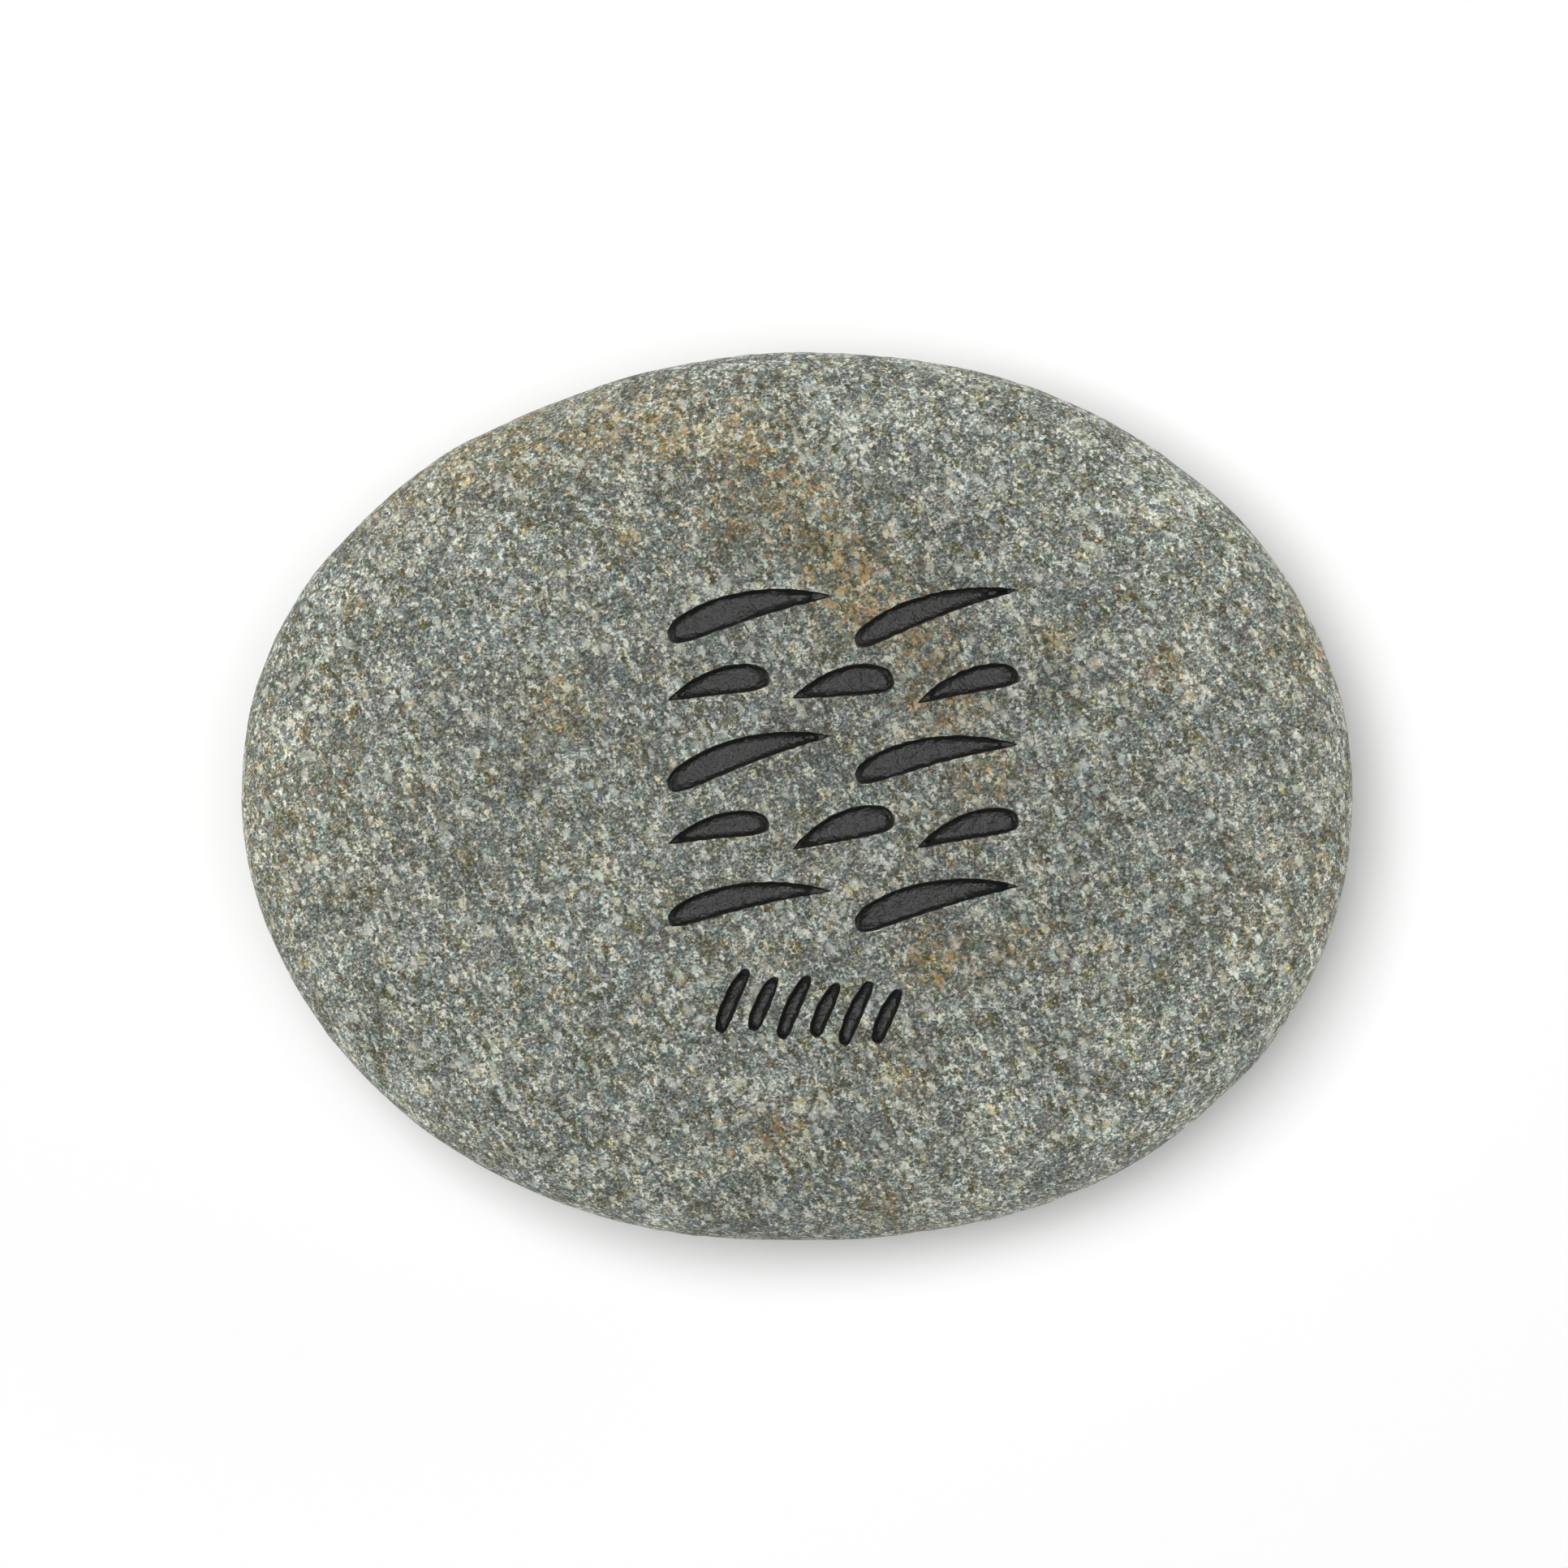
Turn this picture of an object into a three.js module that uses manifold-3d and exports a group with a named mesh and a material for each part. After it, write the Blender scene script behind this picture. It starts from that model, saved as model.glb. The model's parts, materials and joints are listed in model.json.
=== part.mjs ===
// An engraved river pebble: one flattish rounded stone that lies on its underside, with rows of
// shallow brush-like strokes cut into its upper face. Millimetres, +Z up, the stone's length along
// X and its width along Y. The origin is on the table, under the middle of the length and width.
import * as THREE from "three";
import { mergeVertices } from "three/addons/utils/BufferGeometryUtils.js";
import Module from "manifold-3d";

// Driving dimensions of the stone
const LENGTH = 100;
const WIDTH = 80;
const THICKNESS = 25;
const WAIST_SHARE = 0.56; // mean height of the widest contour, as a share of the thickness
const FOOT_SHARE = 0.4; // size of the flat resting spot, as a share of the outline

// The widest contour isn't level: it is highest on one bearing, in degrees, and twisted as well.
const WAIST_TILT = { rise: 1.1, bearing: 150 };
const WAIST_TWIST = { rise: 0.7, bearing: 35 };

// How the outline departs from a plain oval. Each swell adds its share of the radius, a given
// number of times round, with its first crest at a bearing in degrees anticlockwise from +X.
const SWELLS = [
  { lobes: 1, share: 0.009, crest: -42 },
  { lobes: 3, share: 0.005, crest: -54 },
  { lobes: 4, share: 0.006, crest: -38 },
  { lobes: 5, share: 0.003, crest: 24 },
];

// How blunt the shoulders are: 2 is an ellipsoid, and more is flatter on top and steeper outside.
// The upper shoulder is bluntest near the two ends of the stone.
const UPPER_SHOULDER = 3.1;
const UPPER_SHOULDER_SWING = 0.35;
const BLUNTEST_BEARING = 15;
const LOWER_SHOULDER = 2.7;

// Long, faint waves that the river left in the upper face
const WAVE_HEIGHT = 0.3;
const WAVE_LENGTH_X = 74;
const WAVE_LENGTH_Y = 61;

// The engraving: brush strokes in rows, and one row of smaller ones under them
const CUT_DEPTH = 1.2;
const FLOOR_NARROWING = 0.8; // width of a stroke's floor, as a share of its mouth
const TIP_DEPTH_SHARE = 0.45; // depth at a stroke's two ends, as a share of the full depth
const BLOCK = { x: 4, y: 3.2, width: 31, height: 32, rows: 5, gap: 2.1 };
const BRUSH = { width: 2.6, lean: 14, bow: 0.065, head: 0.34, tail: 0.8 };
const HAND = { lean: 4, width: 0.25 }; // how far the hand strays from one stroke to the next
const SMALL_ROW = { x: 1.1, y: -18.7, pitch: 2.75, count: 6, bearing: -5.8 };
const SMALL_BRUSH = { width: 1.45, length: 6.2, short: 5.2, lean: 66, bow: 0.03, head: 0.25, tail: 0.32 };

// Fineness of the facets
const AZIMUTHS = 90;
const UPPER_RINGS = 20;
const LOWER_RINGS = 14;
const STROKE_STATIONS = 11;
const CUTTER_RISE = 1.5; // how far a cutter stands above the face it cuts

const STONE_COLOUR = 0x8b8d82;
const STONE_ROUGHNESS = 0.85;

const TURN = 2 * Math.PI;
const radians = THREE.MathUtils.degToRad;

// Distance from the stone's middle to its outline on one bearing, before it is fitted to its box.
function ovalRadius(angle) {
  const a = LENGTH / 2;
  const b = WIDTH / 2;
  const ellipse = (a * b) / Math.hypot(b * Math.cos(angle), a * Math.sin(angle));
  const swell = SWELLS.reduce(
    (sum, { lobes, share, crest }) => sum + share * Math.cos(lobes * (angle - radians(crest))),
    1,
  );
  return ellipse * swell;
}

// The box of the unfitted outline, from which the stretch to LENGTH and WIDTH is worked out.
function outlineBox() {
  const box = new THREE.Box2();
  for (let i = 0; i < AZIMUTHS; i++) {
    const angle = (TURN * i) / AZIMUTHS;
    const radius = ovalRadius(angle);
    box.expandByPoint(new THREE.Vector2(radius * Math.cos(angle), radius * Math.sin(angle)));
  }
  return box;
}

const middle = outlineBox().getCenter(new THREE.Vector2());
const stretch = new THREE.Vector2(LENGTH, WIDTH).divide(outlineBox().getSize(new THREE.Vector2()));

// The place in plan at a share of the way from the stone's middle to its outline.
function placeAt(share, angle) {
  const radius = share * ovalRadius(angle);
  return new THREE.Vector2(radius * Math.cos(angle), radius * Math.sin(angle))
    .sub(middle)
    .multiply(stretch);
}

// The reverse: the share and the bearing of a place in plan.
function shareAt(x, y) {
  const raw = new THREE.Vector2(x, y).divide(stretch).add(middle);
  const angle = Math.atan2(raw.y, raw.x);
  return { share: Math.min(raw.length() / ovalRadius(angle), 1), angle };
}

// The superellipse that both faces follow, from 1 in the middle to 0 at the outline.
function dome(share, shoulder) {
  return Math.sqrt(1 - Math.pow(share, shoulder));
}

function wave(x, y) {
  return WAVE_HEIGHT * Math.sin((TURN * x) / WAVE_LENGTH_X) * Math.cos((TURN * y) / WAVE_LENGTH_Y);
}

// Height of the widest contour on one bearing.
function waistHeight(angle) {
  const tilt = WAIST_TILT.rise * Math.cos(angle - radians(WAIST_TILT.bearing));
  const twist = WAIST_TWIST.rise * Math.cos(2 * (angle - radians(WAIST_TWIST.bearing)));
  return THICKNESS * WAIST_SHARE + tilt + twist;
}

function upperHeight(x, y) {
  const { share, angle } = shareAt(x, y);
  const swing = Math.cos(2 * (angle - radians(BLUNTEST_BEARING)));
  const shoulder = UPPER_SHOULDER + UPPER_SHOULDER_SWING * swing;
  const crown = (THICKNESS - waistHeight(angle)) * dome(share, shoulder);
  return waistHeight(angle) + crown + wave(x, y) * (1 - share * share);
}

// The underside reaches the table where the flat spot begins.
function lowerHeight(x, y) {
  const { share, angle } = shareAt(x, y);
  const belly = dome(share, LOWER_SHOULDER) / dome(FOOT_SHARE, LOWER_SHOULDER);
  return waistHeight(angle) * Math.max(1 - belly, 0);
}

// Shares of the rings from the outline inwards, closer together where the face is steep.
function ringShares(count, shoulder, innermost) {
  const innermostAngle = Math.asin(Math.pow(innermost, shoulder / 2));
  return Array.from({ length: count }, (_, i) => {
    const angle = THREE.MathUtils.lerp(Math.PI / 2, innermostAngle, (i + 1) / count);
    return Math.pow(Math.sin(angle), 2 / shoulder);
  });
}

// The plain stone: rings of vertices from the middle of the top, over the outline, to the
// middle of the underside.
function stoneGeometry() {
  const upper = ringShares(UPPER_RINGS, UPPER_SHOULDER, 0).slice(0, -1).reverse();
  const lower = ringShares(LOWER_RINGS, LOWER_SHOULDER, FOOT_SHARE);
  const rings = [
    ...[...upper, 1].map((share) => ({ share, height: upperHeight })),
    ...lower.map((share) => ({ share, height: lowerHeight })),
  ];

  const vertices = [0, 0, upperHeight(0, 0)];
  for (const { share, height } of rings) {
    for (let i = 0; i < AZIMUTHS; i++) {
      const { x, y } = placeAt(share, (TURN * i) / AZIMUTHS);
      vertices.push(x, y, height(x, y));
    }
  }
  vertices.push(0, 0, 0);

  const vertex = (ring, i) => 1 + ring * AZIMUTHS + (i % AZIMUTHS);
  const topMiddle = 0;
  const bottomMiddle = vertices.length / 3 - 1;
  const lastRing = rings.length - 1;
  const faces = [];
  for (let i = 0; i < AZIMUTHS; i++) {
    faces.push(topMiddle, vertex(0, i), vertex(0, i + 1));
    for (let ring = 0; ring < lastRing; ring++) {
      faces.push(vertex(ring, i), vertex(ring + 1, i), vertex(ring + 1, i + 1));
      faces.push(vertex(ring, i), vertex(ring + 1, i + 1), vertex(ring, i + 1));
    }
    faces.push(bottomMiddle, vertex(lastRing, i + 1), vertex(lastRing, i));
  }
  return closedGeometry(vertices, faces);
}

function closedGeometry(vertices, faces) {
  const geometry = new THREE.BufferGeometry();
  geometry.setAttribute("position", new THREE.Float32BufferAttribute(vertices, 3));
  geometry.setIndex(faces);
  return geometry;
}

// The big strokes, row by row from the top: two long ones, then three short ones, in turn. The
// brush's heavy end is on the left in one row and on the right in the next.
function bigStrokes() {
  const strokes = [];
  for (let row = 0; row < BLOCK.rows; row++) {
    const count = row % 2 === 0 ? 2 : 3;
    const room = (BLOCK.width - (count - 1) * BLOCK.gap) / count;
    const y = BLOCK.y + BLOCK.height * (0.5 - (row + 0.5) / BLOCK.rows);
    for (let column = 0; column < count; column++) {
      const number = strokes.length;
      const lean = BRUSH.lean + HAND.lean * Math.sin(1.7 * number);
      strokes.push({
        ...BRUSH,
        x: BLOCK.x + (column - (count - 1) / 2) * (room + BLOCK.gap),
        y,
        lean,
        length: room / Math.cos(radians(lean)),
        width: BRUSH.width + HAND.width * Math.cos(2.3 * number),
        turned: row % 2 === 1,
      });
    }
  }
  return strokes;
}

// The small strokes stand side by side along a line that falls a little to the right.
function smallStrokes() {
  const { x, y, pitch, count, bearing } = SMALL_ROW;
  return Array.from({ length: count }, (_, i) => {
    const along = (i - (count - 1) / 2) * pitch;
    return {
      ...SMALL_BRUSH,
      x: x + along * Math.cos(radians(bearing)),
      y: y + along * Math.sin(radians(bearing)),
      length: i % 2 === 0 ? SMALL_BRUSH.length : SMALL_BRUSH.short,
      turned: false,
    };
  });
}

// How much of its full width a brush stroke has at a share of its length: a round heavy head
// and a long tail.
function brushWidth(along, head, tail) {
  const widest = head / (head + tail);
  const press = (t) => Math.pow(t, head) * Math.pow(1 - t, tail);
  return press(along) / press(widest);
}

// A stroke's outline, once round: each point has its place, and the place of the floor under it.
function strokeOutline({ x, y, length, lean, width, bow, head, tail, turned }) {
  const forward = new THREE.Vector2(Math.cos(radians(lean)), Math.sin(radians(lean)));
  const sideways = new THREE.Vector2(-forward.y, forward.x);
  const pointAt = (along, side) => {
    const pressed = brushWidth(turned ? 1 - along : along, head, tail);
    const bend = bow * length * 4 * along * (1 - along);
    const place = (reach) =>
      new THREE.Vector2(x, y)
        .addScaledVector(forward, (along - 0.5) * length)
        .addScaledVector(sideways, bend + (reach * side * pressed * width) / 2);
    const depth = CUT_DEPTH * THREE.MathUtils.lerp(TIP_DEPTH_SHARE, 1, pressed);
    return { mouth: place(1), floor: place(FLOOR_NARROWING), depth };
  };

  const stations = Array.from(
    { length: STROKE_STATIONS + 1 },
    (_, i) => (1 - Math.cos((Math.PI * i) / STROKE_STATIONS)) / 2,
  );
  const under = stations.slice(0, -1).map((along) => pointAt(along, -1));
  const over = stations.slice(1).reverse().map((along) => pointAt(along, 1));
  return [...under, ...over];
}

// The closed body that cuts one stroke: its floor follows the stone's face at the cut's depth.
function strokeCutter(stroke) {
  const outline = strokeOutline(stroke);
  const count = outline.length;
  const vertices = [];
  for (const { mouth } of outline) {
    vertices.push(mouth.x, mouth.y, upperHeight(mouth.x, mouth.y) + CUTTER_RISE);
  }
  for (const { floor, depth } of outline) {
    vertices.push(floor.x, floor.y, upperHeight(floor.x, floor.y) - depth);
  }

  const faces = [];
  for (const [a, b, c] of THREE.ShapeUtils.triangulateShape(outline.map(({ mouth }) => mouth), [])) {
    faces.push(a, b, c);
    faces.push(a + count, c + count, b + count);
  }
  for (let i = 0; i < count; i++) {
    const next = (i + 1) % count;
    faces.push(i, i + count, next + count);
    faces.push(i, next + count, next);
  }
  return closedGeometry(vertices, faces);
}

const wasm = await Module();
wasm.setup();

function solidOf(geometry) {
  const merged = mergeVertices(geometry);
  return new wasm.Manifold(
    new wasm.Mesh({
      numProp: 3,
      vertProperties: new Float32Array(merged.attributes.position.array),
      triVerts: new Uint32Array(merged.index.array),
    }),
  );
}

function geometryOf(solid) {
  const mesh = solid.getMesh();
  const geometry = closedGeometry(mesh.vertProperties, Array.from(mesh.triVerts));
  geometry.computeVertexNormals();
  return geometry;
}

function engravedStone() {
  const strokes = [...bigStrokes(), ...smallStrokes()];
  const stone = strokes.reduce(
    (solid, stroke) => solid.subtract(solidOf(strokeCutter(stroke))),
    solidOf(stoneGeometry()),
  );
  return geometryOf(stone);
}

const stoneMaterial = new THREE.MeshStandardMaterial({
  color: STONE_COLOUR,
  roughness: STONE_ROUGHNESS,
  metalness: 0,
});

const pebble = new THREE.Mesh(engravedStone(), stoneMaterial);
pebble.name = "pebble";

const part = new THREE.Group();
part.add(pebble);

export default part;
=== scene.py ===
"""An engraved river pebble: a fine-grained speckled stone with rows of painted brush strokes.

The stone follows the same surface as the CAD part. Its mesh is finer: the strokes have crisp,
slightly ragged rims, steep walls and a rough floor, and the river-worn faces have shallow pits.
Sizes are in millimetres, and MM turns them into Blender's metres.
"""

import json
import math

import bpy
import numpy as np
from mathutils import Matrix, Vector, kdtree, noise
from mathutils.geometry import delaunay_2d_cdt

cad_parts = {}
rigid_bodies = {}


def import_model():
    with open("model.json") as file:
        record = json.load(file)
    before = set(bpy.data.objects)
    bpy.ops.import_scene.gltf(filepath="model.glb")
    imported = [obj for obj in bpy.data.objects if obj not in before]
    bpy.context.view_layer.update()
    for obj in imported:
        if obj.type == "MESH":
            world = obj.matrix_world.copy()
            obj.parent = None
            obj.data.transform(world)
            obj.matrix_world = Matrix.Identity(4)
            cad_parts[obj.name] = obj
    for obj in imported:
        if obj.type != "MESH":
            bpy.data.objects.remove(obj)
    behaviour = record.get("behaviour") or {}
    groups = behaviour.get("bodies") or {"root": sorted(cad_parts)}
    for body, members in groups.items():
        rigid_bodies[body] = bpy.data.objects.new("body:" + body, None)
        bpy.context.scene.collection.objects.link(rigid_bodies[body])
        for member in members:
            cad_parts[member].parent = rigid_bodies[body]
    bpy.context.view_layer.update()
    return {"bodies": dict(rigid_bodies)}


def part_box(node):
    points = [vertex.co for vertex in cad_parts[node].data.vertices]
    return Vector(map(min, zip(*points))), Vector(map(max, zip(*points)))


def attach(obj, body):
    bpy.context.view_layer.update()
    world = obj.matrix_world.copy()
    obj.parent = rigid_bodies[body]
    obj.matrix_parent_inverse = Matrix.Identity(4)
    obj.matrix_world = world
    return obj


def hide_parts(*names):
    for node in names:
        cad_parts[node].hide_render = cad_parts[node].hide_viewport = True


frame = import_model()

MM = 0.001
TURN = 2 * math.pi

# The stone, as the CAD part has it
cad_low, cad_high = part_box("pebble")
LENGTH = (cad_high.x - cad_low.x) / MM
WIDTH = (cad_high.y - cad_low.y) / MM
THICKNESS = 25
WAIST_SHARE = 0.56
FOOT_SHARE = 0.4
WAIST_TILT = {"rise": 1.1, "bearing": 150}
WAIST_TWIST = {"rise": 0.7, "bearing": 35}
SWELLS = ((1, 0.009, -42), (3, 0.005, -54), (4, 0.006, -38), (5, 0.003, 24))
OUTLINE_SAMPLES = 90
UPPER_SHOULDER = 3.1
UPPER_SHOULDER_SWING = 0.35
BLUNTEST_BEARING = 15
LOWER_SHOULDER = 2.7
WAVE_HEIGHT = 0.3
WAVE_LENGTH_X = 74
WAVE_LENGTH_Y = 61

# The engraving, as the CAD part has it
CUT_DEPTH = 1.2
TIP_DEPTH_SHARE = 0.45
BLOCK = {"x": 4, "y": 3.2, "width": 31, "height": 32, "rows": 5, "gap": 2.1}
BRUSH = {"width": 2.6, "lean": 14, "bow": 0.065, "head": 0.34, "tail": 0.8}
HAND = {"lean": 4, "width": 0.25}
SMALL_ROW = {"x": 1.1, "y": -18.7, "pitch": 2.75, "count": 6, "bearing": -5.8}
SMALL_BRUSH = {"width": 1.45, "length": 6.2, "short": 5.2, "lean": 66, "bow": 0.03,
               "head": 0.25, "tail": 0.32}

# Fineness of the mesh
UPPER_SPACING = 0.5
LOWER_SPACING = 0.95
OUTLINE_SPACING = 0.2
FLOOR_SPACING = 0.28
PIT_SPACING = 0.2
CAP_SHARE = 0.93
ROUND_COUNT = 600
UPPER_BAND_RINGS = 14
LOWER_BAND_RINGS = 13
SEED = 11

# How the walls of a stroke go down: how far in from the rim, and the share of the full depth
WALL = ((0.0, 0.0), (0.07, 0.12), (0.26, 0.9), (0.42, 1.0))
RIM_RAGGEDNESS = 0.07
RIM_RAG_LENGTH = 0.7
OTHER_SLICE = Vector((0, 0, 20))
FLOOR_ROUGHNESS = 0.12
FLOOR_ROUGH_LENGTH = 0.8

# Relief of the worn stone: height and length of each scale of unevenness
UNEVENNESS = ((0.22, 11.0), (0.07, 3.2), (0.045, 1.1))

# Pits: place in plan, half-length, half-width, turn in degrees, depth
PITS = (
    (-25.3, 25.9, 0.85, 0.6, 20, 0.45),
    (-43.6, -12.1, 1.3, 0.95, 110, 0.4),
    (4.5, 35.8, 1.0, 0.6, 10, 0.4),
    (-37.5, -14.8, 0.9, 0.7, 60, 0.25),
    (-20.7, -32.0, 0.8, 0.6, 30, 0.3),
    (20.5, -22.5, 0.6, 0.45, 70, 0.25),
    (34.5, 20.5, 0.6, 0.4, 140, 0.25),
    (-8.2, -21.5, 0.5, 0.4, 0, 0.2),
)


def radians(degrees):
    return math.radians(degrees)


# The stone's surface


def oval_radius(angle):
    """Distance from the stone's middle to its outline, before it is fitted to its box."""
    a, b = LENGTH / 2, WIDTH / 2
    ellipse = a * b / np.hypot(b * np.cos(angle), a * np.sin(angle))
    swell = 1 + sum(share * np.cos(lobes * (angle - radians(crest))) for lobes, share, crest in SWELLS)
    return ellipse * swell


def outline_fit():
    """The middle of the unfitted outline, and the stretch that brings it to its length and width."""
    angle = np.arange(OUTLINE_SAMPLES) * TURN / OUTLINE_SAMPLES
    points = oval_radius(angle)[:, None] * np.stack([np.cos(angle), np.sin(angle)], 1)
    low, high = points.min(0), points.max(0)
    return (low + high) / 2, np.array([LENGTH, WIDTH]) / (high - low)


middle, stretch = outline_fit()


def place_at(share, angle):
    """The place in plan at a share of the way from the stone's middle to its outline."""
    radius = share * oval_radius(angle)
    return (np.stack([radius * np.cos(angle), radius * np.sin(angle)], -1) - middle) * stretch


def share_at(x, y):
    """The reverse: the share and the bearing of a place in plan."""
    raw_x = x / stretch[0] + middle[0]
    raw_y = y / stretch[1] + middle[1]
    angle = np.arctan2(raw_y, raw_x)
    return np.minimum(np.hypot(raw_x, raw_y) / oval_radius(angle), 1), angle


def dome(share, shoulder):
    return np.sqrt(1 - share ** shoulder)


def waist_height(angle):
    tilt = WAIST_TILT["rise"] * np.cos(angle - radians(WAIST_TILT["bearing"]))
    twist = WAIST_TWIST["rise"] * np.cos(2 * (angle - radians(WAIST_TWIST["bearing"])))
    return THICKNESS * WAIST_SHARE + tilt + twist


def upper_height(x, y):
    share, angle = share_at(x, y)
    shoulder = UPPER_SHOULDER + UPPER_SHOULDER_SWING * np.cos(2 * (angle - radians(BLUNTEST_BEARING)))
    crown = (THICKNESS - waist_height(angle)) * dome(share, shoulder)
    wave = WAVE_HEIGHT * np.sin(TURN * x / WAVE_LENGTH_X) * np.cos(TURN * y / WAVE_LENGTH_Y)
    return waist_height(angle) + crown + wave * (1 - share ** 2)


def lower_height(x, y):
    share, angle = share_at(x, y)
    belly = dome(share, LOWER_SHOULDER) / dome(FOOT_SHARE, LOWER_SHOULDER)
    return waist_height(angle) * np.maximum(1 - belly, 0)


# The engraving


def big_strokes():
    """Row by row from the top: two long strokes, then three short ones, in turn."""
    strokes = []
    for row in range(BLOCK["rows"]):
        count = 2 if row % 2 == 0 else 3
        room = (BLOCK["width"] - (count - 1) * BLOCK["gap"]) / count
        y = BLOCK["y"] + BLOCK["height"] * (0.5 - (row + 0.5) / BLOCK["rows"])
        for column in range(count):
            number = len(strokes)
            lean = BRUSH["lean"] + HAND["lean"] * math.sin(1.7 * number)
            strokes.append({
                **BRUSH,
                "x": BLOCK["x"] + (column - (count - 1) / 2) * (room + BLOCK["gap"]),
                "y": y,
                "lean": lean,
                "length": room / math.cos(radians(lean)),
                "width": BRUSH["width"] + HAND["width"] * math.cos(2.3 * number),
                "turned": row % 2 == 1,
            })
    return strokes


def small_strokes():
    """Side by side along a line that falls a little to the right."""
    strokes = []
    bearing = radians(SMALL_ROW["bearing"])
    for i in range(SMALL_ROW["count"]):
        along = (i - (SMALL_ROW["count"] - 1) / 2) * SMALL_ROW["pitch"]
        strokes.append({
            **SMALL_BRUSH,
            "x": SMALL_ROW["x"] + along * math.cos(bearing),
            "y": SMALL_ROW["y"] + along * math.sin(bearing),
            "length": SMALL_BRUSH["length"] if i % 2 == 0 else SMALL_BRUSH["short"],
            "turned": False,
        })
    return strokes


def brush_width(along, head, tail):
    """The share of its full width that a brush stroke has at a share of its length."""
    widest = head / (head + tail)
    return (along ** head * (1 - along) ** tail) / (widest ** head * (1 - widest) ** tail)


def stroke_loop(stroke, inset):
    """A closed loop of points round a stroke, a given distance inside its rim, and each point's depth."""
    half = stroke["length"] / 2
    shrink_along = 1 - inset / half
    shrink_across = 1 - 2 * inset / stroke["width"]
    samples = 400
    along = (1 - np.cos(np.pi * np.arange(samples + 1) / samples)) / 2
    along = np.concatenate([along[:-1], along[:0:-1]])
    side = np.repeat([-1.0, 1.0], samples)
    pressed = brush_width(1 - along if stroke["turned"] else along, stroke["head"], stroke["tail"])
    reach = (2 * along - 1) * half * shrink_along
    bend = stroke["bow"] * stroke["length"] * (1 - (reach / half) ** 2)
    offset = bend + side * pressed * shrink_across * stroke["width"] / 2
    lean = radians(stroke["lean"])
    x = stroke["x"] + reach * math.cos(lean) - offset * math.sin(lean)
    y = stroke["y"] + reach * math.sin(lean) + offset * math.cos(lean)
    return even_loop(x, y, TIP_DEPTH_SHARE + (1 - TIP_DEPTH_SHARE) * pressed)


def even_loop(x, y, depth_share):
    """The same loop with its points an even distance apart."""
    closed = [np.append(values, values[0]) for values in (x, y, depth_share)]
    steps = np.hypot(np.diff(closed[0]), np.diff(closed[1]))
    travelled = np.concatenate([[0], np.cumsum(steps)])
    count = max(int(travelled[-1] / OUTLINE_SPACING), 12)
    wanted = np.arange(count) * travelled[-1] / count
    return np.stack([np.interp(wanted, travelled, values) for values in closed], 1)


def roughen_loop(loop):
    """Moves a loop's points a little, alike for all loops of one stroke, as a blasted edge strays."""
    rough = loop.copy()
    for point in rough:
        place = Vector((point[0], point[1], 0)) / RIM_RAG_LENGTH
        point[0] += RIM_RAGGEDNESS * noise.noise(place)
        point[1] += RIM_RAGGEDNESS * noise.noise(place + OTHER_SLICE)
    return rough


def contains(loop, x, y):
    """Which of the places are inside a closed loop."""
    inside = np.zeros(len(x), bool)
    for (ax, ay), (bx, by) in zip(loop[:, :2], np.roll(loop[:, :2], -1, 0)):
        if ay != by:
            crosses = (ay > y) != (by > y)
            inside ^= crosses & (x < (bx - ax) * (y - ay) / (by - ay) + ax)
    return inside


# The mesh


def scattered(spacing, reach_x, reach_y, generator):
    """Points on a triangular grid, each moved a little at random."""
    rows = np.arange(-reach_y, reach_y, spacing * math.sqrt(3) / 2)
    columns = np.arange(-reach_x, reach_x, spacing)
    x, y = np.meshgrid(columns, rows)
    x = x + (np.arange(len(rows)) % 2 * spacing / 2)[:, None]
    points = np.stack([x.ravel(), y.ravel()], 1)
    return points + generator.uniform(-0.18, 0.18, points.shape) * spacing


def within_cap(points, spacing):
    """The points that are inside the loop that bounds the cap, and clear of it."""
    share, _ = share_at(points[:, 0], points[:, 1])
    return points[share < CAP_SHARE - spacing / WIDTH]


def cap_grid(spacing, generator):
    """Grid points over a face of the stone."""
    return within_cap(scattered(spacing, LENGTH / 2, WIDTH / 2, generator), spacing)


def clear_of(points, loops, distance):
    """The points that are further than a distance from every point of the loops."""
    tree = kdtree.KDTree(sum(len(loop) for loop in loops))
    for index, point in enumerate(np.concatenate(loops)):
        tree.insert(Vector((point[0], point[1], 0)), index)
    tree.balance()
    keep = [tree.find(Vector((x, y, 0)))[2] > distance for x, y in points]
    return points[np.array(keep, bool)]


def fine_pit_points(generator):
    """Extra points in and round each pit."""
    patches = []
    for x, y, half_length, _, _, _ in PITS:
        patch = scattered(PIT_SPACING, 1.5 * half_length, 1.5 * half_length, generator)
        patch = patch[np.hypot(patch[:, 0], patch[:, 1]) < 1.5 * half_length]
        patches.append(patch + (x, y))
    return within_cap(np.concatenate(patches), PIT_SPACING)


def round_loop(share):
    angle = np.arange(ROUND_COUNT) * TURN / ROUND_COUNT
    return place_at(np.full(ROUND_COUNT, share), angle)


def triangulate(points, loops, faces):
    """Triangles that keep to the given loops, and how many of the faces each is in. None is in no face."""
    made = delaunay_2d_cdt([Vector(p) for p in points], loops, faces, 0, 1e-7)
    places, _, triangles, origins, _, owners = made
    original = np.array([group[0] for group in origins])
    assert len(places) == len(points), "two points of the mesh fell together"
    layers = np.array([len(owner) for owner in owners])
    return original[np.array(triangles)][layers > 0], layers[layers > 0]


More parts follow.
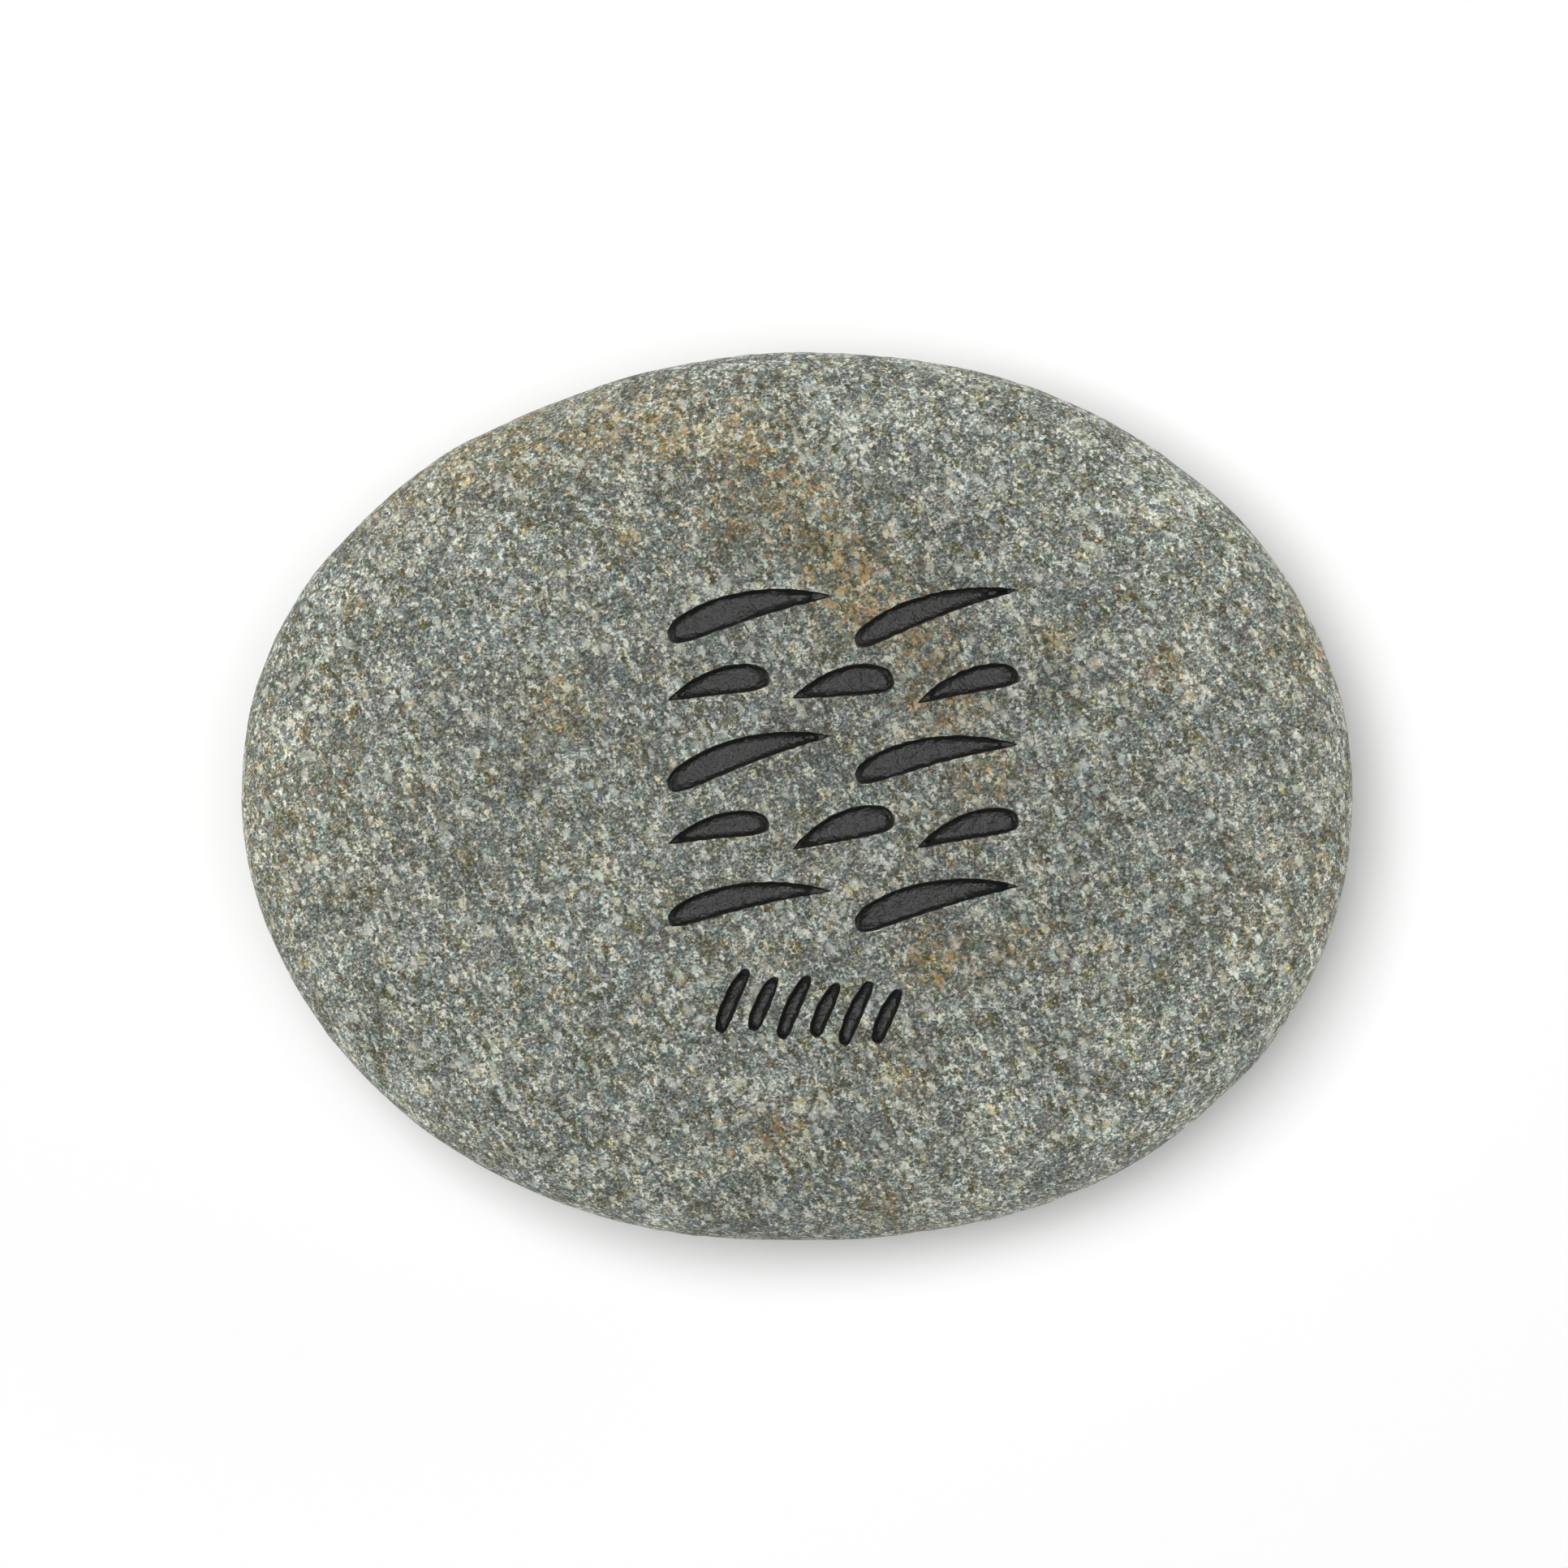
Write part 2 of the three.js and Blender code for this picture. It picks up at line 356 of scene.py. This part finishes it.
def upper_cap(generator):
    """The upper face: points with their depth below it, triangles, and which ones are painted."""
    strokes = big_strokes() + small_strokes()
    points, depths, floors, edges, faces = [], [], [], [], []
    start = 0

    def add(new_points, depth, is_floor):
        nonlocal start
        points.append(new_points)
        depths.append(depth)
        floors.append(np.full(len(new_points), is_floor))
        start += len(new_points)

    boundary = round_loop(CAP_SHARE)
    add(boundary, np.zeros(ROUND_COUNT), False)
    faces.append(list(range(ROUND_COUNT)))

    rims, every_loop = [], [boundary]
    for stroke in strokes:
        for inset, depth_share in WALL:
            if inset > 0.4 * stroke["width"]:
                continue
            loop = roughen_loop(stroke_loop(stroke, inset))
            first, count = start, len(loop)
            ring = [(first + i, first + (i + 1) % count) for i in range(count)]
            if inset == 0:
                rims.append(loop)
                faces.append(list(range(first, first + count)))
            else:
                edges.extend(ring)
            every_loop.append(loop[:, :2])
            add(loop[:, :2], CUT_DEPTH * depth_share * loop[:, 2], depth_share == 1)

    grid = np.concatenate([cap_grid(UPPER_SPACING, generator), fine_pit_points(generator)])
    for rim in rims:
        grid = grid[~contains(rim, grid[:, 0], grid[:, 1])]
    grid = clear_of(grid, every_loop, 0.2)
    add(grid, np.zeros(len(grid)), False)

    for stroke in strokes:
        inset, _ = WALL[-1]
        loop = roughen_loop(stroke_loop(stroke, min(inset, 0.3 * stroke["width"])))
        low, high = loop[:, :2].min(0), loop[:, :2].max(0)
        centre, reach = (low + high) / 2, (high - low) / 2
        floor = scattered(FLOOR_SPACING, reach[0], reach[1], generator) + centre
        floor = floor[contains(loop, floor[:, 0], floor[:, 1])]
        if len(floor):
            floor = clear_of(floor, [loop], 0.14)
        add(floor, np.full(len(floor), CUT_DEPTH), True)

    points = np.concatenate(points)
    triangles, layers = triangulate(points, edges, faces)
    return points, np.concatenate(depths), np.concatenate(floors), triangles, layers > 1


def lower_cap(generator):
    boundary = round_loop(CAP_SHARE)
    grid = clear_of(cap_grid(LOWER_SPACING, generator), [boundary], LOWER_SPACING / 2)
    points = np.concatenate([boundary, grid])
    triangles, _ = triangulate(points, [], [list(range(ROUND_COUNT))])
    return points, triangles[:, ::-1]


def band_shares(count, shoulder):
    """Shares of the rings between a cap's edge and the outline, closer where the face is steep."""
    innermost = math.asin(CAP_SHARE ** (shoulder / 2))
    angle = innermost + (math.pi / 2 - innermost) * np.arange(1, count + 1) / count
    return np.sin(angle) ** (2 / shoulder)


def stone_surface():
    """Vertices, triangles, depth of the engraving under each vertex, floor vertices, painted triangles."""
    generator = np.random.RandomState(SEED)
    top, depth, floor, top_triangles, painted = upper_cap(generator)
    bottom, bottom_triangles = lower_cap(generator)

    rings = [round_loop(share) for share in band_shares(UPPER_BAND_RINGS, UPPER_SHOULDER)]
    upper_count = len(rings)
    lower_shares = band_shares(LOWER_BAND_RINGS, LOWER_SHOULDER)[-2::-1]
    rings += [round_loop(share) for share in lower_shares]
    band = np.concatenate(rings)
    is_upper = np.arange(len(band)) < upper_count * ROUND_COUNT
    band_height = np.where(is_upper, upper_height(*band.T), lower_height(*band.T))

    band_start = len(top)
    bottom_start = band_start + len(band)
    loops = [np.arange(ROUND_COUNT)]
    loops += [band_start + ring * ROUND_COUNT + np.arange(ROUND_COUNT) for ring in range(len(rings))]
    loops += [bottom_start + np.arange(ROUND_COUNT)]
    sides = []
    for inner, outer in zip(loops, loops[1:]):
        inner_next, outer_next = np.roll(inner, -1), np.roll(outer, -1)
        sides.append(np.stack([inner, outer, outer_next], 1))
        sides.append(np.stack([inner, outer_next, inner_next], 1))

    vertices = np.concatenate([
        np.column_stack([top, upper_height(*top.T)]),
        np.column_stack([band, band_height]),
        np.column_stack([bottom, lower_height(*bottom.T)]),
    ])
    triangles = np.concatenate([top_triangles] + sides + [bottom_triangles + bottom_start])
    rest = len(vertices) - len(top)
    depth = np.concatenate([depth, np.zeros(rest)])
    floor = np.concatenate([floor, np.zeros(rest, bool)])
    painted = np.concatenate([painted, np.zeros(len(triangles) - len(painted), bool)])
    return vertices, triangles, depth, floor, painted


def relief(vertices):
    """How far the worn surface stands in or out at each vertex."""
    heights = np.zeros(len(vertices))
    for index, vertex in enumerate(vertices):
        place = Vector(vertex)
        heights[index] = sum(height * noise.noise(place / length) for height, length in UNEVENNESS)
    for x, y, half_length, half_width, turn, depth in PITS:
        cosine, sine = math.cos(radians(turn)), math.sin(radians(turn))
        dx, dy = vertices[:, 0] - x, vertices[:, 1] - y
        along = (dx * cosine + dy * sine) / half_length
        across = (dy * cosine - dx * sine) / half_width
        distance = np.hypot(along, across)
        bowl = np.clip(1 - distance ** 4, 0, 1)
        heights -= depth * bowl * (vertices[:, 2] > waist_height(0.0))
    return heights


def make_pebble():
    vertices, triangles, depth, floor, painted = stone_surface()
    mesh = bpy.data.meshes.new("river_pebble")
    mesh.from_pydata(vertices.tolist(), [], triangles.tolist())
    mesh.update()

    normals = np.zeros(len(vertices) * 3)
    mesh.vertex_normals.foreach_get("vector", normals)
    vertices = vertices + normals.reshape(-1, 3) * relief(vertices)[:, None]
    grit = np.array([
        noise.noise(Vector(place) / FLOOR_ROUGH_LENGTH) if is_floor else 0.0
        for place, is_floor in zip(vertices, floor)
    ])
    vertices[:, 2] += FLOOR_ROUGHNESS * grit - depth
    vertices[:, 2] = np.maximum(vertices[:, 2], 0)

    mesh.vertices.foreach_set("co", (vertices * MM).ravel())
    mesh.polygons.foreach_set("material_index", painted.astype(np.int32))
    mesh.polygons.foreach_set("use_smooth", np.ones(len(triangles), bool))
    mesh.set_sharp_from_angle(angle=radians(50))
    mesh.update()
    piece = bpy.data.objects.new("engraved_pebble", mesh)
    bpy.context.scene.collection.objects.link(piece)
    return piece


# Materials


def linear(red, green, blue):
    """A colour given by its 0 to 255 screen values, as Blender's linear colour."""
    def channel(value):
        value = value / 255
        return value / 12.92 if value <= 0.04045 else ((value + 0.055) / 1.055) ** 2.4
    return (channel(red), channel(green), channel(blue), 1)


def add_node(tree, kind, inputs=(), **settings):
    """A shader node. Each input is set to a value, or linked if the value is another node's socket."""
    made = tree.nodes.new(kind)
    for name, value in settings.items():
        setattr(made, name, value)
    for name, value in dict(inputs).items():
        if isinstance(value, bpy.types.NodeSocket):
            tree.links.new(value, made.inputs[name])
        else:
            made.inputs[name].default_value = value
    return made


def calculate(tree, operation, *values, clamp=False):
    made = add_node(tree, "ShaderNodeMath", dict(enumerate(values)), operation=operation)
    made.use_clamp = clamp
    return made.outputs[0]


def blend_colours(tree, factor, first, second, kind="MIX"):
    inputs = {0: factor, 6: first, 7: second}
    made = add_node(tree, "ShaderNodeMix", inputs, data_type="RGBA", blend_type=kind)
    return made.outputs[2]


def mix_numbers(tree, factor, first, second):
    return add_node(tree, "ShaderNodeMix", {0: factor, 2: first, 3: second}).outputs[0]


def ramp(tree, value, stops):
    """A colour ramp through (position, colour) stops."""
    made = add_node(tree, "ShaderNodeValToRGB", {0: value})
    elements = made.color_ramp.elements
    while len(elements) < len(stops):
        elements.new(1)
    for element, (position, colour) in zip(elements, stops):
        element.position = position
        element.color = colour
    return made.outputs[0]


def step_up(tree, value, low, high):
    """0 below low, 1 above high, and a soft rise between them."""
    inputs = {"Value": value, "From Min": low, "From Max": high}
    made = add_node(tree, "ShaderNodeMapRange", inputs, interpolation_type="SMOOTHSTEP")
    return made.outputs["Result"]


def stone_coordinates(tree):
    """The place on the stone in millimetres."""
    coordinates = add_node(tree, "ShaderNodeTexCoord").outputs["Object"]
    return add_node(tree, "ShaderNodeVectorMath", {0: coordinates, 3: 1 / MM}, operation="SCALE").outputs[0]


def fuzz(tree, place, scale, detail=2.0, roughness=0.5, output=0):
    """Soft noise, with its scale in lumps per millimetre."""
    inputs = {"Vector": place, "Scale": scale, "Detail": detail, "Roughness": roughness}
    return add_node(tree, "ShaderNodeTexNoise", inputs).outputs[output]


def crystals(tree, place, size, turn):
    """Crystals of a length and a width, all leaning one way: three random numbers each, and how far out."""
    length, width = size
    inputs = {"Vector": place, "Scale": (length, width, width), "Rotation": [radians(a) for a in turn]}
    laid = add_node(tree, "ShaderNodeMapping", inputs, vector_type="TEXTURE").outputs[0]
    cells = add_node(tree, "ShaderNodeTexVoronoi", {"Vector": laid, "Scale": 1.0})
    numbers = add_node(tree, "ShaderNodeSeparateColor", {0: cells.outputs["Color"]})
    return numbers.outputs, cells.outputs["Distance"]


def weighted_sum(tree, start, *terms):
    """A number plus each (socket, weight) pair."""
    total = start
    for socket, weight in terms:
        total = calculate(tree, "MULTIPLY_ADD", socket, weight, total)
    return total


def stone_material():
    material = bpy.data.materials.new("speckled_stone")
    material.use_nodes = True
    tree = material.node_tree
    shader = tree.nodes["Principled BSDF"]
    place = stone_coordinates(tree)

    # Crystals are ragged, so the place is stirred a little before it is cut into cells
    swirl = fuzz(tree, place, 2.4, 3, 0.6, output="Color")
    stir = add_node(tree, "ShaderNodeVectorMath", {0: swirl, 1: (0.5, 0.5, 0.5)},
                    operation="SUBTRACT").outputs[0]
    stirred = add_node(tree, "ShaderNodeVectorMath", {0: stir, 1: (0.75, 0.75, 0.75), 2: place},
                       operation="MULTIPLY_ADD").outputs[0]

    fine, _ = crystals(tree, stirred, (0.3, 0.18), (10, 25, 18))
    coarse, _ = crystals(tree, stirred, (0.66, 0.32), (-15, 10, -62))
    loose, out = crystals(tree, stirred, (1.35, 0.8), (12, -20, 118))
    grit = fuzz(tree, place, 4.4, 2, 0.6)
    mottle = fuzz(tree, place, 0.25, 4, 0.75)

    # Brown-black grains, single and in clusters, and large pale laths
    ragged = calculate(tree, "MULTIPLY_ADD", grit, 0.7, out)
    cluster = calculate(tree, "MULTIPLY", calculate(tree, "LESS_THAN", loose[0], 0.17),
                        step_up(tree, ragged, 0.92, 0.72))
    cluster = calculate(tree, "MULTIPLY", cluster, step_up(tree, fine[2], 0.25, 0.5))
    dark = calculate(tree, "MAXIMUM", cluster, calculate(tree, "GREATER_THAN", coarse[2], 0.955))
    pale = calculate(tree, "MULTIPLY", calculate(tree, "GREATER_THAN", loose[0], 0.8),
                     step_up(tree, ragged, 0.88, 0.74))

    flake = step_up(tree, coarse[0], 0.76, 0.86)
    value = weighted_sum(tree, -1.12, (fine[0], 0.65), (flake, 0.34), (grit, 1.4), (mottle, 1.02),
                         (dark, -0.27))
    pale_value = weighted_sum(tree, 0.66, (fine[0], 0.2), (loose[1], 0.16))
    value = mix_numbers(tree, calculate(tree, "MULTIPLY", pale, 0.75), value, pale_value)
    colour = ramp(tree, value, (
        (0.02, linear(56, 56, 49)),
        (0.16, linear(74, 76, 69)),
        (0.34, linear(93, 96, 89)),
        (0.50, linear(113, 116, 108)),
        (0.66, linear(139, 142, 132)),
        (0.84, linear(174, 176, 163)),
        (0.98, linear(206, 206, 191)),
    ))

    # Some crystals are cooler, some warmer, the dark ones most
    cool_or_warm = ramp(tree, weighted_sum(tree, 0.0, (fine[1], 0.6), (coarse[1], 0.4)),
                        ((0.15, (0.79, 1.05, 1.08, 1)), (0.85, (1.19, 0.955, 0.935, 1))))
    blue_or_cream = ramp(tree, weighted_sum(tree, 0.0, (coarse[2], 0.5), (loose[2], 0.5)),
                         ((0.2, (0.945, 1.005, 1.12, 1)), (0.6, (0.975, 1.0, 1.03, 1)),
                          (0.9, (1.14, 1.0, 0.66, 1))))
    paleness = step_up(tree, value, 0.1, 0.95)
    tinting = calculate(tree, "MULTIPLY_ADD", paleness, -0.5, 1.0)
    colour = blend_colours(tree, tinting, colour, cool_or_warm, "MULTIPLY")
    colour = blend_colours(tree, tinting, colour, blue_or_cream, "MULTIPLY")
    colour = blend_colours(tree, dark, colour, (1.08, 1.0, 0.66, 1), "MULTIPLY")

    # The tone attribute holds the stone's own paler and darker patches, plus painted light on the rims and
    # painted shade in the middle and at the bottom rim
    broad_tone_and_painted_light = add_node(tree, "ShaderNodeAttribute", attribute_name="tone_and_painted_light").outputs["Fac"]
    broad_tone_and_painted_light = add_node(tree, "ShaderNodeCombineColor", dict.fromkeys(range(3), broad_tone_and_painted_light)).outputs[0]
    colour = blend_colours(tree, 1.0, colour, broad_tone_and_painted_light, "MULTIPLY")

    # Rust that has crept between the crystals
    stain = add_node(tree, "ShaderNodeAttribute", attribute_name="stain").outputs["Fac"]
    patchy = step_up(tree, fuzz(tree, place, 0.9, 3), 0.32, 0.6)
    rust = calculate(tree, "MULTIPLY", stain, patchy, clamp=True)
    rust_wash = calculate(tree, "MULTIPLY", rust, 0.9)
    colour = blend_colours(tree, rust_wash, colour, (1.0, 0.88, 0.62, 1), "MULTIPLY")
    bright_rust = calculate(tree, "GREATER_THAN", coarse[1], 0.74)
    bright_rust = calculate(tree, "MULTIPLY", bright_rust, rust)
    rust_colour = ramp(tree, coarse[2], ((0.0, linear(124, 92, 48)), (1.0, linear(176, 138, 86))))
    colour = blend_colours(tree, calculate(tree, "MULTIPLY", bright_rust, 0.7), colour, rust_colour)

    tree.links.new(colour, shader.inputs["Base Color"])
    roughness = weighted_sum(tree, 0.62, (fine[1], 0.2))
    tree.links.new(roughness, shader.inputs["Roughness"])
    shader.inputs["Specular IOR Level"].default_value = 0.35

    # The worn surface still has a fine tooth
    tooth = fuzz(tree, place, 2.6, 3)
    bump = add_node(tree, "ShaderNodeBump", {"Height": tooth, "Strength": 0.6, "Distance": 0.12 * MM})
    tree.links.new(bump.outputs[0], shader.inputs["Normal"])
    return material


def paint_material():
    material = bpy.data.materials.new("black_paint")
    material.use_nodes = True
    tree = material.node_tree
    shader = tree.nodes["Principled BSDF"]
    grit = fuzz(tree, stone_coordinates(tree), 3.2, 4)
    colour = ramp(tree, grit, ((0.3, linear(20, 20, 19)), (0.75, linear(38, 38, 36))))
    tree.links.new(colour, shader.inputs["Base Color"])
    roughness = calculate(tree, "MULTIPLY_ADD", grit, 0.3, 0.32)
    tree.links.new(roughness, shader.inputs["Roughness"])
    bump = add_node(tree, "ShaderNodeBump", {"Height": grit, "Strength": 0.7, "Distance": 0.25 * MM})
    tree.links.new(bump.outputs[0], shader.inputs["Normal"])
    return material


# Rust stains: place in plan, radius and strength. The first ones run in a bow from the upper left
# rim through the middle of the face and down, the others are single spots.
STAINS = (
    (-37, 27, 4.5, 0.55),
    (-31, 30, 4, 0.7),
    (-25, 32, 4, 0.9),
    (-18, 33, 3.5, 1.0),
    (-12, 33, 3.5, 1.2),
    (-5, 31.5, 3.5, 1.2),
    (-0.5, 26.5, 4, 1.1),
    (-6.5, 25, 3, 0.8),
    (2.5, 22, 3.5, 1.2),
    (5.5, 18, 3.5, 1.6),
    (10.5, 14, 3, 0.9),
    (13, 7.5, 3.2, 0.8),
    (16.5, 2, 2.6, 0.9),
    (13.5, -5, 3, 0.45),
    (12.6, -14.5, 2.4, 1.3),
    (19.5, -12.5, 2, 0.9),
    (8.7, -24.3, 2.4, 0.8),
    (-2.5, -30, 2.6, 0.75),
    (8, -37, 2.5, 0.5),
    (-15.2, 23.5, 1.6, 1.2),
    (-39.6, 17, 0.9, 1.6),
    (-21.6, 8, 2.6, 0.8),
    (22.2, 13.4, 1.2, 1.2),
    (32.5, 11.5, 2, 0.6),
    (46.5, 14, 4.5, 0.6),
    (-48, 0, 12, 0.35),
    (46, -8, 8, 0.35),
)

# Broad paler and darker parts of the upper face: place in plan, radius, and how much paler or darker. The
# small dark patches are the stone's own. The broad darker middle is partly the stone's own and partly
# painted shade. The paler rims, palest on the left, are painted light, and the darker bottom rim is painted
# shade: these stand in for lamps at the sides.
TONES_AND_PAINTED_LIGHT = (
    (7, 5, 20, -0.2),
    (9.3, 9.6, 4.5, -0.18),
    (13.7, -13.4, 3.5, -0.14),
    (5, -23.5, 5, -0.12),
    (-2.4, 25, 6.5, -0.12),
    (21, 13, 4, -0.1),
    (-26, 2, 6, -0.12),
    (27, -5, 8, -0.08),
    (-4, -40, 7, -0.22),
    (6, -40, 7, -0.2),
    (-48, 0, 8, 0.3),
    (-44, 14, 8, 0.1),
    (-32, 27, 9, 0.14),
    (-7, 39, 8, 0.1),
    (12, 38, 8, 0.12),
    (32, 25, 9, 0.14),
    (40, -13, 7, 0.16),
    (31, -23, 6, 0.14),
    (19, -28, 5, 0.12),
    (-22, -14, 3, 0.16),
)
SIDE_FADE = (4, 11)


def blotches(vertices, patches):
    """Patch by patch, how strong it is at each vertex. All fade out down the stone's side."""
    x, y, z = vertices.T
    upper = np.clip((z - SIDE_FADE[0]) / (SIDE_FADE[1] - SIDE_FADE[0]), 0, 1)
    for patch_x, patch_y, radius, strength in patches:
        yield strength * upper * np.exp(-((x - patch_x) ** 2 + (y - patch_y) ** 2) / radius ** 2)


def stain_amount(vertices):
    """How rusty the stone is at each vertex."""
    return np.max(list(blotches(vertices, STAINS)), 0)


def tone_and_painted_light(vertices):
    """How much paler or darker than its mean the stone is at each vertex: the stone's own patches, painted
    light on the rims, and painted shade in the middle and at the bottom rim.
    """
    return 1 + np.sum(list(blotches(vertices, TONES_AND_PAINTED_LIGHT)), 0)


def add_attribute(piece, name, values):
    attribute = piece.data.attributes.new(name, "FLOAT", "POINT")
    attribute.data.foreach_set("value", values)


def finish_pebble(piece):
    places = np.zeros(len(piece.data.vertices) * 3)
    piece.data.vertices.foreach_get("co", places)
    places = places.reshape(-1, 3) / MM
    add_attribute(piece, "stain", stain_amount(places))
    # Tone holds the stone's own patches together with painted light on the rims and painted shade in the
    # middle and at the bottom rim
    add_attribute(piece, "tone_and_painted_light", tone_and_painted_light(places))
    piece.data.materials.append(stone_material())
    piece.data.materials.append(paint_material())
    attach(piece, next(iter(frame["bodies"])))
    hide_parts("pebble")


# Floor, lights and camera


def plain_material(name, colour):
    material = bpy.data.materials.new(name)
    material.use_nodes = True
    shader = material.node_tree.nodes["Principled BSDF"]
    shader.inputs["Base Color"].default_value = colour
    shader.inputs["Roughness"].default_value = 0.9
    shader.inputs["Specular IOR Level"].default_value = 0.0
    return material


def make_floor():
    reach = 3.0
    mesh = bpy.data.meshes.new("floor")
    corners = [(-reach, -reach, 0), (reach, -reach, 0), (reach, reach, 0), (-reach, reach, 0)]
    mesh.from_pydata(corners, [], [(0, 1, 2, 3)])
    mesh.materials.append(plain_material("floor_white", (0.93, 0.93, 0.93, 1)))
    floor = bpy.data.objects.new("floor", mesh)
    bpy.context.scene.collection.objects.link(floor)


def aim(item, target):
    item.rotation_euler = (Vector(target) - item.location).to_track_quat("-Z", "Y").to_euler()


def soft_light(name, bearing, elevation, distance, size, power):
    """A square area light at a bearing and elevation in degrees, facing the pebble."""
    light = bpy.data.lights.new(name, "AREA")
    light.shape = "SQUARE"
    light.size = size
    light.energy = power
    lamp = bpy.data.objects.new(name, light)
    flat = distance * math.cos(radians(elevation))
    lamp.location = (flat * math.cos(radians(bearing)), flat * math.sin(radians(bearing)),
                     distance * math.sin(radians(elevation)))
    lamp.visible_camera = False
    bpy.context.scene.collection.objects.link(lamp)
    aim(lamp, (0, 0, 0))


def make_lights():
    soft_light("key", 150, 74, 1.0, 0.5, 5.9)
    soft_light("overhead", 0, 90, 1.0, 0.8, 4.9)
    soft_light("right_fill", 25, 14, 1.0, 0.45, 1.7)
    world = bpy.data.worlds.new("studio")
    bpy.context.scene.world = world
    world.use_nodes = True
    tree = world.node_tree
    direction = add_node(tree, "ShaderNodeTexCoord").outputs["Generated"]
    rise = add_node(tree, "ShaderNodeSeparateXYZ", {0: direction}).outputs["Z"]
    inputs = {"Value": rise, "From Min": 0.0, "From Max": 0.3, "To Min": 5.0, "To Max": 0.0}
    brightness = add_node(tree, "ShaderNodeMapRange", inputs, interpolation_type="SMOOTHSTEP")
    tree.links.new(brightness.outputs["Result"], tree.nodes["Background"].inputs["Strength"])
    tree.nodes["Background"].inputs["Color"].default_value = (1, 1, 1, 1)


# The photograph's frame: how wide it is at the height of the widest contour, and its middle
VIEW_WIDTH = 141.2
VIEW_MIDDLE = (-1.24, 1.17)
CAMERA_DISTANCE = 600
SENSOR = 36


def make_camera():
    camera = bpy.data.cameras.new("camera")
    camera.sensor_width = SENSOR
    camera.lens = SENSOR * CAMERA_DISTANCE / VIEW_WIDTH
    camera.clip_start = 0.01
    eye = bpy.data.objects.new("camera", camera)
    height = CAMERA_DISTANCE + THICKNESS * WAIST_SHARE
    eye.location = (VIEW_MIDDLE[0] * MM, VIEW_MIDDLE[1] * MM, height * MM)
    bpy.context.scene.collection.objects.link(eye)
    bpy.context.scene.camera = eye
    bpy.context.scene.view_settings.view_transform = "Standard"


make_camera()
make_floor()
make_lights()
finish_pebble(make_pebble())
